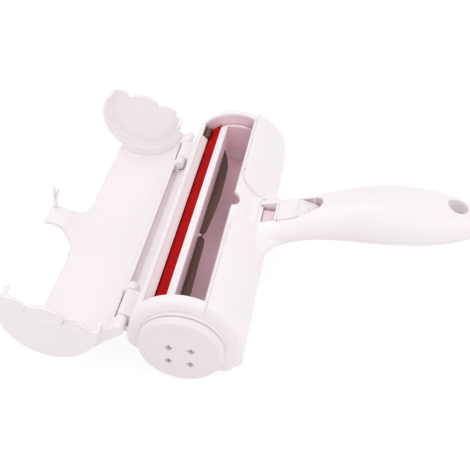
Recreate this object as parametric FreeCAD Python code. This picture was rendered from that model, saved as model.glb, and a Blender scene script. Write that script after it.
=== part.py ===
"""A self-cleaning pet hair brush: a white moulded head on a leaf-shaped handle, with a rocking velvet drum
under a hinged lid. The lid stands open and the drum is rocked to the rear end of its swing.

Everything is modelled about the drum's axis: x towards the handle, y along the drum away from the near end
disc, z up. At the end the whole brush is moved so that the feet of the end walls stand at z = 0 and the
origin is the middle of the near foot. Angles in the cross section run from +x towards +z, in degrees. The
lid is modelled closed and then swung open.
"""
import FreeCAD
import Part
import math
import os
from FreeCAD import Vector

# Head
AXIS_HEIGHT = 22.4
CHAMBER_HALF = 75.7
END_WALL = 5.6
SHELL_R = 30.2
WALL = 2.2
RIM_STEP = 2.4
LOBE_EDGE = 65.8
LEDGE_EDGE = 68.7
LEDGE_THICK = 1.5
LEDGE_PLAY = 0.2
FRONT_EDGE = 138.0
FOOT_HALF = 12.0
END_ROUND = 2.8
COLLAR_R = 22.0
COLLAR_WIDTH = 2.0
COLLAR_WALL = 2.6

# Drum
DRUM_R = 21.0
DRUM_WALL = 2.0
DRUM_END = 2.5
DRUM_PLAY = 0.8
VELVET = 0.9
RAIL_INNER = 119.5
RAIL_OUTER = 131.5
VELVET_GAP = 8.0
DRUM_TILT = 14.0
TROUGH_FLOOR_HALF = 5.5
TROUGH_FLOOR_Z = -3.4
TROUGH_WALL = 1.8
FLAP_Z = 8.6
FLAP_THICK = 1.2

# Front plate and rubber lips
DRUM_CLEAR = 0.7
LIP_CLEAR = 0.35
PLATE_STEP = 0.8
PLATE_EDGE = 138.3
PLATE_UNDER = 141.2
PLATE_END_PLAY = 0.2
CURL_LENGTH = 11.7
CURL_END_PLAY = 3.1
LIP_TURN = 1.8
LIP_STEP = 1.6
LIP_END_PLAY = 0.4
REAR_LIP_EDGE = -32.6

# End discs and bearings
DISC_FACE_R = 20.2
DISC_BACK_R = 21.5
DISC_THICK = 4.3
DISC_PLAY = 0.3
DISC_TURN = 11.0
DISC_HOLES_X = 5.5
DISC_HOLES_Z = 5.0
DISC_HOLES_DROP = 2.8
DIAMOND_HALF = 2.1
DIAMOND_DEEP = 3.0
STUB_R = 4.0
BUSH_BORE_R = 4.06
BUSH_R = 6.0

# Lid and hinge
LID_EDGE_PLAY = 0.6
LID_WALL = 2.0
LID_STEP_PLAY = 1.5
LID_HINGE_EDGE = 174.0
LID_NOTCH_EDGE = 164.0
CUP_R = 25.4
CUP_WALL = 1.9
CUP_DEPTH = 9.0
CUP_ROUND = 3.0
HINGE_OUT = 2.3
HINGE_Z = 2.5
LID_OPEN = 170.5
BARREL_R = 2.9
PIN_R = 1.0
PIN_PLAY = 0.05
HINGE_LENGTH = 26.0
HINGE_PAST_CHAMBER = 2.3
EAR_WIDTH = 4.0
EAR_PLAY = 0.4

# Latch tab and valley
TAB_HALF = 7.3
TAB_END = 32.0
TAB_FLARE = 22.0
FLARE_PLAY = 3.5
VALLEY_HALF = 11.8
PRONG_TIP_Z = 4.8
PRONG_FROM = 5.4
PRONG_TO = 6.8

# Handle: station along x, centre height, half width, half thickness
HANDLE = (
    (22.0, 10.0, 24.0, 7.4),
    (29.0, 11.2, 18.8, 8.2),
    (36.0, 12.9, 15.8, 9.1),
    (45.0, 16.3, 14.5, 9.5),
    (56.0, 20.6, 14.9, 10.3),
    (74.0, 25.3, 17.1, 12.0),
    (90.0, 27.9, 18.7, 13.0),
    (105.0, 29.4, 18.4, 12.8),
    (120.0, 30.1, 15.9, 11.2),
    (130.0, 30.4, 12.6, 8.9),
    (137.5, 30.4, 8.4, 6.0),
    (141.5, 30.4, 4.2, 3.0),
)
HANDLE_WALL = 2.2
HANDLE_PARTING = 0.22
LOWER_FROM = 36.5
HOLE_X = 126.0
HOLE_R = 5.2
HOLE_WALL = 1.8

# Button
RECESS_FROM = 34.4
RECESS_TO = 58.0
RECESS_HALF = 7.8
RECESS_WALL = 1.6
RECESS_FLOOR = 14.0
BUTTON_GAP = 0.45
BUTTON_NOSE_GAP = 0.9
BUTTON_SPLIT = 45.0
BUTTON_THICK = 2.2
BUTTON_SINK = 0.5
BUTTON_NOSE_SINK = 2.4
BUTTON_PIVOT_X = 41.5
BUTTON_PIVOT_Z = 19.2
BUTTON_PIN_R = 1.2
LUG_R = 2.5
LUG_FROM = 4.4
LUG_TO = 6.4
TONGUE_HALF = 2.8
TONGUE_FROM = 30.7
TONGUE_PLAY = 0.6
TONGUE_RISE = 0.1
SPRING_X = 51.5
SPRING_R = 2.1
SPRING_WIRE = 0.32
SPRING_TURNS = 6

# Latch window and the box under it
WINDOW_FROM = 26.2
WINDOW_TO = 33.2
WINDOW_HALF = 7.2
NOTCH_FROM = 24.9
BOX_FROM = 24.6
BOX_FLOOR = 3.2
BOX_WALL = 1.2

# Handle screws
SCREW_X = (66.0, 104.0)
SCREW_R = 1.3
SCREW_HEAD_R = 2.6
SCREW_SEAT = 5.0
BOSS_R = 3.4

# Places that follow from the sizes above
HEAD_END = CHAMBER_HALF + END_WALL
RIM_R = SHELL_R - RIM_STEP
LEDGE_R = SHELL_R - LID_WALL - LEDGE_PLAY
PLATE_R = RIM_R - PLATE_STEP
PLATE_FROM = PLATE_END_PLAY - CHAMBER_HALF
PLATE_TO = CHAMBER_HALF - CURL_LENGTH
LIP_DEEP_R = RIM_R - LIP_STEP
LIP_HALF = CHAMBER_HALF - LIP_END_PLAY
LID_HALF = HEAD_END + LID_STEP_PLAY
HINGE_X = -SHELL_R - HINGE_OUT
BARREL_TO = CHAMBER_HALF + HINGE_PAST_CHAMBER
BARREL_FROM = BARREL_TO - HINGE_LENGTH

AXIS_DIR = Vector(0, 1, 0)
ORIGIN = Vector(0, 0, 0)
FAR = 400.0


def polar(radius, angle):
    """Point of the cross section at a radius and an angle about the drum's axis."""
    turn = math.radians(angle)
    return (radius * math.cos(turn), radius * math.sin(turn))


def section(start, *moves, y=0.0):
    """Flat face across the drum's axis. A move is an end point, or (point passed, end point) for an arc."""
    edges = []
    here = start
    for move in moves + (start,):
        through, end = move if isinstance(move[0], tuple) else (None, move)
        if math.dist(here, end) > 1e-6:
            a, b = Vector(here[0], y, here[1]), Vector(end[0], y, end[1])
            if through:
                edges.append(Part.Arc(a, Vector(through[0], y, through[1]), b).toShape())
            else:
                edges.append(Part.LineSegment(a, b).toShape())
        here = end
    return Part.Face(Part.Wire(edges))


def prism(face, y_from, y_to):
    """Solid along the drum's axis from a cross section drawn at y = 0."""
    moved = face.copy()
    moved.translate(Vector(0, y_from, 0))
    return moved.extrude(Vector(0, y_to - y_from, 0))


def rod(radius, y_from, y_to, x=0.0, z=0.0):
    """Round bar along y."""
    return Part.makeCylinder(radius, y_to - y_from, Vector(x, y_from, z), AXIS_DIR)


def post(radius, x, z_from, z_to, y=0.0):
    """Upright round bar."""
    return Part.makeCylinder(radius, z_to - z_from, Vector(x, y, z_from))


def block(x_from, x_to, y_from, y_to, z_from, z_to):
    """Box between two corners."""
    return Part.makeBox(x_to - x_from, y_to - y_from, z_to - z_from, Vector(x_from, y_from, z_from))


def ring_sector(inner, outer, angle_from, angle_to):
    """Cross section between two radii and two angles."""
    middle = (angle_from + angle_to) / 2
    return section(
        polar(outer, angle_from),
        (polar(outer, middle), polar(outer, angle_to)),
        polar(inner, angle_to),
        (polar(inner, middle), polar(inner, angle_from)),
    )


def swung(shape, angle, x=0.0, z=0.0):
    """Copy turned in the cross section, +x towards +z, about a line along y."""
    turned = shape.copy()
    turned.rotate(Vector(x, 0, z), AXIS_DIR, -angle)
    return turned


def mirrored(shape):
    """The same piece at the other end of the drum."""
    return shape.mirror(ORIGIN, AXIS_DIR)


def both_ends(shape):
    return shape.fuse(mirrored(shape))


def spline_edge(points):
    curve = Part.BSplineCurve()
    curve.interpolate([Vector(*p) for p in points])
    return curve.toShape()


def merged(shape):
    """The shape with its split faces joined, where joining them leaves a sound solid."""
    joined = shape.copy().removeSplitter()
    sound = joined.isValid() and abs(joined.Volume - shape.Volume) < 1.0
    return joined if sound else shape


def handle_hull(inset=0.0):
    """The handle's leaf-shaped body, lofted through its stations, or the same body thinner by a wall."""
    rings = []
    stations = HANDLE if inset == 0 else HANDLE[:-1]
    for x, z, half_width, half_thick in stations:
        centre = Vector(x, 0, z)
        side = centre + Vector(0, half_width - inset, 0)
        top = centre + Vector(0, 0, half_thick - inset)
        rings.append(Part.Wire([Part.Ellipse(side, top, centre).toShape()]))
    return Part.makeLoft(rings, True, False)


def handle_centre(x):
    """Height of the handle's middle and its half thickness at a place along it."""
    for (x0, z0, _, c0), (x1, z1, _, c1) in zip(HANDLE, HANDLE[1:]):
        if x <= x1:
            share = (x - x0) / (x1 - x0)
            return z0 + (z1 - z0) * share, c0 + (c1 - c0) * share
    return HANDLE[-1][1], HANDLE[-1][3]


def handle_top(x):
    z, c = handle_centre(x)
    return z + c


def valley_floor(lift):
    """Line of the valley's floor in the cross section, raised by a lift: the way from the chamber's edge
    over the rear wall to the handle. Gives the arc's end, the low point and the far end."""
    radius = SHELL_R - WALL + lift
    low, end = polar(SHELL_R + 1.34, 36.4), polar(SHELL_R + 9.53, 32.25)
    return radius, polar(radius, 48.0), (low[0] - 0.15 * lift, low[1] + lift), (end[0], end[1] + lift)


def plan_prism(outline_points, z_from, z_to):
    """Upright solid over a plan outline. An entry is a point, or (point passed, end) for an arc."""
    edges = []
    here = outline_points[0]
    for move in outline_points[1:] + [outline_points[0]]:
        through, end = move if isinstance(move[0], tuple) else (None, move)
        if math.dist(here, end) > 1e-6:
            a, b = Vector(here[0], here[1], z_from), Vector(end[0], end[1], z_from)
            if through:
                edges.append(Part.Arc(a, Vector(through[0], through[1], z_from), b).toShape())
            else:
                edges.append(Part.LineSegment(a, b).toShape())
        here = end
    return Part.Face(Part.Wire(edges)).extrude(Vector(0, 0, z_to - z_from))


def end_wall_section(top_r):
    """Outline of an end wall: round top, rear side with a rounded corner, flat feet, front side."""
    return section(
        polar(top_r, 160),
        (polar(top_r, 115), polar(top_r, LOBE_EDGE)),
        polar(SHELL_R, LOBE_EDGE),
        (polar(SHELL_R, 35), polar(SHELL_R, 0)),
        polar(SHELL_R + 0.4, -18),
        (polar(SHELL_R + 1.3, -28.4), polar(SHELL_R - 0.5, -34.8)),
        polar(COLLAR_R + 3.6, -44),
        (FOOT_HALF, -AXIS_HEIGHT),
        (-FOOT_HALF, -AXIS_HEIGHT),
        polar(COLLAR_R + 1.8, 228),
        (polar(COLLAR_R + 1.8, 216), polar(COLLAR_R + 2.6, 204)),
        (polar(RIM_R - 0.9, 197.4), polar(RIM_R + 0.4, 189.5)),
        polar(RIM_R, 171),
        (polar(RIM_R, 165.5), polar(RIM_R, 160)),
    )


def rear_wall():
    """Cross section of the rear wall: round above with a ledge for the lid, rounded at the foot, and a
    flange in towards the drum."""
    inner = SHELL_R - WALL
    clear = DRUM_R + VELVET + DRUM_CLEAR
    deep = LEDGE_R - LEDGE_THICK
    return section(
        polar(SHELL_R, LOBE_EDGE),
        (polar(SHELL_R, 35), polar(SHELL_R, 0)),
        polar(SHELL_R + 0.4, -18),
        (polar(SHELL_R + 1.3, -28.4), polar(SHELL_R - 0.5, -34.8)),
        polar(clear, -37.5),
        polar(clear, -30),
        polar(inner, -28.6),
        (polar(inner + 1.26, -24.6), polar(inner + 0.53, -17.5)),
        polar(inner, 0),
        (polar(inner, 35), polar(inner, LOBE_EDGE - 6)),
        polar(deep, LOBE_EDGE - 3),
        polar(deep, LEDGE_EDGE),
        polar(LEDGE_R, LEDGE_EDGE),
        polar(LEDGE_R, LOBE_EDGE),
    )


def front_wall():
    """Cross section of the front wall: a C with a rebate for the plate and a rail along the hinge."""
    skin = RIM_R - WALL
    clear = DRUM_R + VELVET + DRUM_CLEAR
    under = PLATE_UNDER + LIP_TURN
    return section(
        polar(RIM_R, FRONT_EDGE),
        (polar(RIM_R, 155), polar(RIM_R, 171)),
        polar(RIM_R + 0.6, 181.2),
        polar(RIM_R + 5.5, 184.1),
        polar(RIM_R + 5.66, 187.2),
        polar(RIM_R + 0.8, 191.5),
        (polar(RIM_R - 0.6, 199), polar(RIM_R - 3.2, 205)),
        polar(clear, 208.5),
        polar(clear, 202.5),
        polar(RIM_R - 3.0, 199),
        (polar(RIM_R - 2.1, 194.5), polar(RIM_R - 1.6, 190)),
        polar(RIM_R - 1.9, 184),
        polar(skin, 171),
        (polar(skin, 160), polar(skin, under + 5)),
        polar(clear, under + 4.5),
        polar(clear, under),
        polar(LIP_DEEP_R, under),
        polar(LIP_DEEP_R, PLATE_UNDER),
        polar(PLATE_R, PLATE_UNDER),
        polar(PLATE_R, FRONT_EDGE),
    )


def front_plate():
    """Strip that closes the front wall's rebate and clamps the front lip."""
    strip = ring_sector(DRUM_R + VELVET + DRUM_CLEAR, PLATE_R - 0.05, PLATE_EDGE, PLATE_UNDER)
    return prism(strip, PLATE_FROM, PLATE_TO)


def front_lip():
    """Rubber lip under the front plate; past the plate's far end it curls up."""
    tip = DRUM_R + VELVET + LIP_CLEAR
    lip = prism(ring_sector(tip, LIP_DEEP_R, PLATE_UNDER, PLATE_UNDER + LIP_TURN), -LIP_HALF, LIP_HALF)
    curl = section(
        polar(24.6, PLATE_UNDER + 0.4),
        (polar(25.2, 138.2), polar(24.2, 134.6)),
        (polar(23.5, 133.4), polar(22.6, 134.2)),
        polar(22.6, 135.8),
        (polar(23.6, 136.4), polar(24.0, 138.4)),
        (polar(24.0, 140.0), polar(23.4, PLATE_UNDER + 0.4)),
    )
    return merged(lip.fuse(prism(curl, PLATE_TO + 0.3, CHAMBER_HALF - CURL_END_PLAY)))


def rear_lip():
    """Rubber lip held in the rear wall's flange."""
    tip = DRUM_R + VELVET + LIP_CLEAR
    return prism(ring_sector(tip, LIP_DEEP_R, REAR_LIP_EDGE - LIP_TURN, REAR_LIP_EDGE), -LIP_HALF, LIP_HALF)


def hinge_web():
    """Cross section of the head's hinge barrel with its web down to the front wall."""
    return section(
        (HINGE_X - 0.4, HINGE_Z - BARREL_R + 0.03),
        polar(RIM_R + 1.2, 190.5),
        polar(RIM_R - 0.8, 186.5),
        polar(RIM_R - 0.8, 172.8),
        (HINGE_X + 1.6, HINGE_Z + BARREL_R - 0.5),
        (HINGE_X, HINGE_Z),
    )


def valley_cut():
    """Everything above the valley's floor, between the two lobes, wider at the chamber's edge."""
    radius, turn, low, end = valley_floor(0.0)
    above = section(
        polar(radius, LEDGE_EDGE + 4),
        (polar(radius, 60), turn),
        (low, end),
        (end[0], SHELL_R + 12),
        (0, SHELL_R + 12),
    )
    half = VALLEY_HALF
    flare = TAB_FLARE + FLARE_PLAY
    edge = polar(SHELL_R, LOBE_EDGE)[0]
    start, bend, straight = edge + 0.7, edge + 2.9, edge + 8.5
    plan = [
        (0.0, -flare), (start, -flare), ((bend, -half - 3.0), (straight, -half)), (end[0] + 1, -half),
        (end[0] + 1, half), (straight, half), ((bend, half + 3.0), (start, flare)), (0.0, flare),
    ]
    return prism(above, -flare - 5, flare + 5).common(plan_prism(plan, 0, SHELL_R + 12))


def recess_plan(grow=0.0, nose_grow=0.0):
    """Plan outline of the button's recess, tapering to a round end, grown or shrunk by a margin."""
    start = RECESS_FROM - grow
    half = RECESS_HALF + grow
    nose = 5.5 + grow
    end = RECESS_TO + nose_grow
    return [
        (start, -half), (BUTTON_SPLIT, 0.3 - half), (RECESS_TO - 5.2, -nose),
        ((end, 0.0), (RECESS_TO - 5.2, nose)), (BUTTON_SPLIT, half - 0.3), (start, half),
    ]


def parting_knife():
    """Everything under the line where the two halves of the handle meet."""
    line = []
    for x, z, _, c in HANDLE[2:]:
        line.append((x, 0, z - c * HANDLE_PARTING))
    line[0] = (LOWER_FROM, 0, line[0][2] + 0.1)
    end_x = HANDLE[-1][0] + 6
    line.append((end_x, 0, line[-1][2]))
    top = spline_edge(line)
    first, last = Vector(*line[0]), Vector(*line[-1])
    low_first, low_last = Vector(first.x, 0, -12), Vector(last.x, 0, -12)
    wire = Part.Wire([
        top,
        Part.LineSegment(last, low_last).toShape(),
        Part.LineSegment(low_last, low_first).toShape(),
        Part.LineSegment(low_first, first).toShape(),
    ])
    return prism(Part.Face(wire), -40, 40)


def handle_interior():
    """The hollow of the handle, closed off from the chamber by a wall at its root."""
    hollow = handle_hull(HANDLE_WALL)
    return hollow.common(block(SHELL_R + 0.2, FAR, -60, 60, -60, 90))


def end_block():
    """Far end of the head: end wall with rounded top, collar, bearing seat and hinge barrel."""
    out = HEAD_END
    wall = prism(end_wall_section(RIM_R), CHAMBER_HALF, out)
    round_off = turned_profile([
        (RIM_R - END_ROUND, out + 0.1), (RIM_R - END_ROUND, out),
        ((RIM_R - 0.29 * END_ROUND, out - 0.29 * END_ROUND), (RIM_R, out - END_ROUND)),
        (RIM_R + 1, out - END_ROUND), (RIM_R + 1, out + 0.1),
    ], LOBE_EDGE, 172)
    pillow = turned_profile([
        (SHELL_R - END_ROUND, out + 0.1), (SHELL_R - END_ROUND, out),
        ((SHELL_R - 0.29 * END_ROUND, out - 0.29 * END_ROUND), (SHELL_R, out - END_ROUND)),
        (SHELL_R + 3, out - END_ROUND), (SHELL_R + 3, out + 0.1),
    ], -50, LOBE_EDGE)
    collar = rod(COLLAR_R, out, out + COLLAR_WIDTH).cut(rod(COLLAR_R - COLLAR_WALL, out, out + COLLAR_WIDTH))
    seat = rod(BUSH_R, CHAMBER_HALF - 1, out + 1)
    start, end = BARREL_FROM + EAR_WIDTH + EAR_PLAY, BARREL_TO - EAR_WIDTH - EAR_PLAY
    barrel = rod(BARREL_R, start, end, HINGE_X, HINGE_Z).fuse(prism(hinge_web(), start, end))
    return wall.cut([round_off, pillow]).fuse(collar).cut(seat).fuse(barrel)


def latch_box():
    """Closed box under the latch window, standing in between the drum and the rear wall."""
    return block(
        BOX_FROM - BOX_WALL, WINDOW_TO + BOX_WALL, -WINDOW_HALF - BOX_WALL, WINDOW_HALF + BOX_WALL,
        BOX_FLOOR - BOX_WALL, 17.6,
    )


def latch_space():
    """Room inside the latch box, the window above it, the prongs' notch and the tongue's slot."""
    box = block(BOX_FROM, WINDOW_TO, -WINDOW_HALF, WINDOW_HALF, BOX_FLOOR, 16.4)
    window = block(WINDOW_FROM, WINDOW_TO, -WINDOW_HALF, WINDOW_HALF, BOX_FLOOR, 40)
    notch = block(NOTCH_FROM, WINDOW_TO, PRONG_FROM - 0.5, WINDOW_HALF, BOX_FLOOR, 40)
    slot = block(WINDOW_TO - 1, RECESS_FROM + 1, -TONGUE_HALF - TONGUE_PLAY, TONGUE_HALF + TONGUE_PLAY, 17.2, 40)
    return box.fuse([window, notch, slot])


def upper_shell():
    sides = prism(rear_wall(), -CHAMBER_HALF, CHAMBER_HALF).fuse(prism(front_wall(), -CHAMBER_HALF, CHAMBER_HALF))
    sides = sides.cut(rear_lip())
    hull = handle_hull()
    root = hull.cut(rod(SHELL_R - WALL, -CHAMBER_HALF, CHAMBER_HALF))
    valley_pad = prism(ring_sector(SHELL_R - 2 * WALL, LEDGE_R, 20, LEDGE_EDGE), -30, 30)
    head = sides.fuse([root, valley_pad, end_block(), mirrored(end_block())])
    head = head.cut(both_ends(rod(PIN_R, BARREL_FROM, BARREL_TO, HINGE_X, HINGE_Z)))
    head = head.cut(valley_cut())
    bay = plan_prism([(4.0, -5.4), (10.4, -5.4), ((13.6, 0.0), (10.4, 5.4)), (4.0, 5.4)], 15, 40)
    head = head.cut(bay)

    pocket = plan_prism(recess_plan(RECESS_WALL, RECESS_WALL), RECESS_FLOOR - RECESS_WALL, 60).common(hull)
    head = head.cut(handle_interior()).fuse([pocket, latch_box()])
    head = head.cut(plan_prism(recess_plan(), RECESS_FLOOR, 60)).cut(latch_space())
    head = head.cut(button_pin())

    tube = post(HOLE_R + HOLE_WALL, HOLE_X, 10, 60).common(hull)
    bosses = [post(BOSS_R, x, 0, 60).common(hull) for x in SCREW_X]
    head = head.fuse([tube] + bosses)
    head = head.cut(parting_knife().cut(post(HOLE_R + HOLE_WALL, HOLE_X, 0, 60)))
    head = head.cut(post(HOLE_R, HOLE_X, 0, 60))
    for x in SCREW_X:
        head = head.cut(post(SCREW_R, x, 0, handle_centre(x)[0] + 6))
    return merged(head)


def lower_shell():
    hull = handle_hull()
    skin = hull.cut(handle_interior())
    lower = skin.common(parting_knife())
    bosses = [post(BOSS_R, x, 0, 60).common(hull).common(parting_knife()) for x in SCREW_X]
    lower = lower.fuse(bosses)
    lower = lower.cut(post(HOLE_R + HOLE_WALL, HOLE_X, 0, 60))
    for x in SCREW_X:
        z, c = handle_centre(x)
        lower = lower.cut(post(SCREW_R, x, 0, 60))
        lower = lower.cut(post(SCREW_HEAD_R, x, 0, z - c + SCREW_SEAT))
    return merged(lower)


def handle_screws():
    screws = []
    for x in SCREW_X:
        z, c = handle_centre(x)
        seat = z - c + SCREW_SEAT
        shank = post(SCREW_R, x, seat, z + 5.5)
        head = post(SCREW_HEAD_R - 0.1, x, seat - 1.8, seat)
        slot = block(x - 2.0, x + 2.0, -0.35, 0.35, seat - 1.8, seat - 1.0)
        screws.append(head.fuse(shank).cut(slot))
    return Part.makeCompound(screws)


def lid_profile_revolved(angle_from, angle_to):
    """The lid's wall with its stepped end, turned about the drum's axis between two angles."""
    outer = SHELL_R
    inner = SHELL_R - LID_WALL
    cup_in = CUP_R - CUP_WALL
    face_y = LID_HALF + CUP_DEPTH
    edges_y = [
        (inner, -1.0), (outer, -1.0), (outer, LID_HALF - 1.6),
        ((outer - 0.5, LID_HALF - 0.3), (outer - 1.7, LID_HALF + 0.5)),
        (CUP_R + 1.0, LID_HALF + 1.5),
        ((CUP_R + 0.2, LID_HALF + 1.8), (CUP_R, LID_HALF + 2.5)),
        (CUP_R, face_y - CUP_ROUND),
        ((CUP_R - 0.29 * CUP_ROUND, face_y - 0.29 * CUP_ROUND), (CUP_R - CUP_ROUND, face_y)),
        (6.0, face_y), (6.0, face_y - CUP_WALL), (cup_in - 1.6, face_y - CUP_WALL),
        (cup_in, face_y - CUP_WALL - 1.6), (cup_in, LID_HALF), (inner, LID_HALF),
    ]
    return turned_profile(edges_y, angle_from, angle_to)


def turned_profile(points, angle_from, angle_to):
    """Solid of revolution about the drum's axis from (radius, y) points, between two section angles."""
    edges = []
    here = points[0]
    for move in points[1:] + [points[0]]:
        through, end = move if isinstance(move[0], tuple) else (None, move)
        if math.dist(here, end) > 1e-6:
            a, b = Vector(here[0], here[1], 0), Vector(end[0], end[1], 0)
            if through:
                edges.append(Part.Arc(a, Vector(through[0], through[1], 0), b).toShape())
            else:
                edges.append(Part.LineSegment(a, b).toShape())
        here = end
    face = Part.Face(Part.Wire(edges))
    face.rotate(ORIGIN, AXIS_DIR, -angle_from)
    return face.revolve(ORIGIN, Vector(0, -1, 0), angle_to - angle_from)


def cup():
    """One scalloped end cup, a full round dish cut along its toes."""
    cup_in = CUP_R - CUP_WALL
    face_y = LID_HALF + CUP_DEPTH
    dish = turned_profile([
        (cup_in, LID_HALF), (CUP_R, LID_HALF), (CUP_R, face_y - CUP_ROUND),
        ((CUP_R - 0.29 * CUP_ROUND, face_y - 0.29 * CUP_ROUND), (CUP_R - CUP_ROUND, face_y)),
        (0, face_y), (0, face_y - CUP_WALL), (cup_in - 1.6, face_y - CUP_WALL), (cup_in, face_y - CUP_WALL - 1.6),
    ], 0, 360)
    top = 40.0
    toes = section(
        (top, top), (top, -8.6), (24.0, -8.6),
        ((18.6, -12.4), (11.6, -9.8)),
        (10.4, -8.0),
        (9.0, -10.2),
        ((1.4, -11.4), (-6.6, -8.9)),
        (-8.0, -6.6),
        (-9.6, -8.0),
        ((-14.6, -8.6), (-19.6, -5.0)),
        (-21.2, -2.5),
        (-top, -1.6), (-top, top),
    )
    return dish.common(prism(toes, LID_HALF - 1, face_y + 1))


def tab_sheet():
    """Latch tab: a tongue that follows the valley's floor, flared where it leaves the lid."""
    out_r, out_bend, out_low, out_end = valley_floor(WALL)
    in_r, in_bend, in_low, in_end = valley_floor(WALL - LID_WALL + 0.05)
    strip = section(
        polar(out_r, LOBE_EDGE + 2),
        (polar(out_r, 60), out_bend),
        (out_low, out_end),
        in_end,
        (in_low, in_bend),
        (polar(in_r, 60), polar(in_r, LOBE_EDGE + 2)),
    )
    half = TAB_HALF
    edge = polar(SHELL_R, LOBE_EDGE)[0]
    start, bend, straight = edge - 0.2, edge + 2.0, edge + 9.5
    plan = [
        (0.0, -TAB_FLARE), (start, -TAB_FLARE), ((bend, -half - 5.2), (straight, -half)),
        (TAB_END - 2.5, -half + 0.3), ((TAB_END - 0.5, -half + 1.0), (TAB_END, -half + 3.0)),
        (TAB_END, half - 3.0), ((TAB_END - 0.5, half - 1.0), (TAB_END - 2.5, half - 0.3)), (straight, half),
        ((bend, half + 5.2), (start, TAB_FLARE)), (0.0, TAB_FLARE),
    ]
    return prism(strip, -TAB_FLARE - 2, TAB_FLARE + 2).common(plan_prism(plan, 0, 45))


def prongs():
    """Forked snap arms under the far corner of the tab's end."""
    fork = section(
        (27.9, 20.6), (28.2, 13.0), (27.5, PRONG_TIP_Z), (28.5, PRONG_TIP_Z), (29.3, 12.0),
        (30.1, PRONG_TIP_Z - 0.4), (31.1, PRONG_TIP_Z - 0.4), (30.4, 13.0), (30.2, 20.6),
    )
    return prism(fork, PRONG_FROM, PRONG_TO)


def hinge_ear():
    return section(
        polar(SHELL_R, 157),
        (HINGE_X - BARREL_R * 0.87, HINGE_Z + BARREL_R * 0.5),
        (HINGE_X, HINGE_Z - 0.5),
        polar(SHELL_R - LID_WALL, LID_HINGE_EDGE),
        (polar(SHELL_R - LID_WALL, 164), polar(SHELL_R - LID_WALL, 157)),
    )


def lid_shell():
    half = lid_profile_revolved(LOBE_EDGE + LID_EDGE_PLAY, LID_HINGE_EDGE)
    half = half.fuse(cup())
    lid = half.fuse(mirrored(half))
    lid = lid.fuse([tab_sheet(), prongs()])
    notch = ring_sector(SHELL_R - LID_WALL - 1, SHELL_R + 1, LID_NOTCH_EDGE, LID_HINGE_EDGE + 4)
    lid = lid.cut(both_ends(prism(notch, BARREL_FROM + EAR_WIDTH, BARREL_TO - EAR_WIDTH)))
    ears = []
    for start, end in ((BARREL_FROM, BARREL_FROM + EAR_WIDTH), (BARREL_TO - EAR_WIDTH, LID_HALF)):
        ring = rod(BARREL_R, start, end, HINGE_X, HINGE_Z)
        ears.append(ring.fuse(prism(hinge_ear(), start, end)))
    ears = ears[0].fuse(ears[1])
    lid = lid.fuse([ears, mirrored(ears)])
    lid = lid.cut(both_ends(rod(PIN_R + PIN_PLAY, BARREL_FROM - 1, BARREL_TO + 1, HINGE_X, HINGE_Z)))
    return swung(merged(lid), LID_OPEN, HINGE_X, HINGE_Z)


def hinge_pin():
    return rod(PIN_R, BARREL_FROM - 0.2, BARREL_TO + 0.2, HINGE_X, HINGE_Z)


def button_line(offset):
    """Line along the button at a depth below its top: the front panel, then the rear one sloping down."""
    front = RECESS_FROM + BUTTON_GAP
    nose = RECESS_TO - BUTTON_NOSE_GAP
    return [
        (front - 0.2, handle_top(front) - BUTTON_SINK - offset),
        (BUTTON_SPLIT, handle_top(BUTTON_SPLIT) - BUTTON_SINK - offset),
        (nose + 0.2, handle_top(nose) - BUTTON_NOSE_SINK - offset),
    ]


def release_button():
    """Rocker: a bent plate with two lugs on the pin and a tongue in front that lifts the lid's tab."""
    top, low = button_line(0.0), button_line(BUTTON_THICK)
    plate = prism(section(*top, *reversed(low)), -RECESS_HALF, RECESS_HALF)
    plate = plate.common(plan_prism(recess_plan(-BUTTON_GAP, -BUTTON_NOSE_GAP), 5, 60))
    x, z = BUTTON_PIVOT_X, BUTTON_PIVOT_Z
    lug = section((x - LUG_R, z), ((x, z - LUG_R), (x + LUG_R, z)), (x + LUG_R, z + 3.4), (x - LUG_R, z + 3.4))
    lugs = both_ends(prism(lug, LUG_FROM, LUG_TO))
    tongue_top = valley_floor(0.0)[2][1] + TONGUE_RISE
    tongue = section(
        (TONGUE_FROM, tongue_top - 0.3), (TONGUE_FROM + 0.6, tongue_top), (36.4, tongue_top + 1.2),
        (38.6, low[0][1] + 1.6), (38.6, tongue_top - 1.2), (TONGUE_FROM, tongue_top - 1.4),
    )
    bore = rod(BUTTON_PIN_R + PIN_PLAY, -LUG_TO - 1, LUG_TO + 1, x, z)
    return merged(plate.fuse([lugs, prism(tongue, -TONGUE_HALF, TONGUE_HALF)]).cut(bore))


def button_pin():
    reach = RECESS_HALF + RECESS_WALL - 0.4
    return rod(BUTTON_PIN_R, -reach, reach, BUTTON_PIVOT_X, BUTTON_PIVOT_Z)


def spring_top():
    """Height of the button's underside over the spring."""
    (x0, z0), (x1, z1) = button_line(BUTTON_THICK)[1:]
    return z0 + (z1 - z0) * (SPRING_X - x0) / (x1 - x0)


def button_spring():
    """Coil between the recess floor and the underside of the button's rear panel."""
    height = spring_top() - RECESS_FLOOR - 2 * SPRING_WIRE - 0.6
    helix = Part.makeHelix(height / SPRING_TURNS, height, SPRING_R)
    circle = Part.Circle(Vector(SPRING_R, 0, 0), AXIS_DIR, SPRING_WIRE)
    coil = Part.Wire(helix).makePipeShell([Part.Wire([circle.toShape()])], True, True)
    coil.translate(Vector(SPRING_X, 0, RECESS_FLOOR + SPRING_WIRE + 0.02))
    return coil


def drum_shell():
    """Curved lower half of the drum with its two end plates."""
    half = CHAMBER_HALF - DRUM_PLAY
    skin = prism(ring_sector(DRUM_R - DRUM_WALL, DRUM_R, RAIL_OUTER, 540 - RAIL_OUTER), -half, half)
    plate = rod(DRUM_R, half - DRUM_END, half).cut(rod(STUB_R, half - DRUM_END - 1, half + 1))
    return merged(skin.fuse([plate, mirrored(plate)]))


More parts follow.
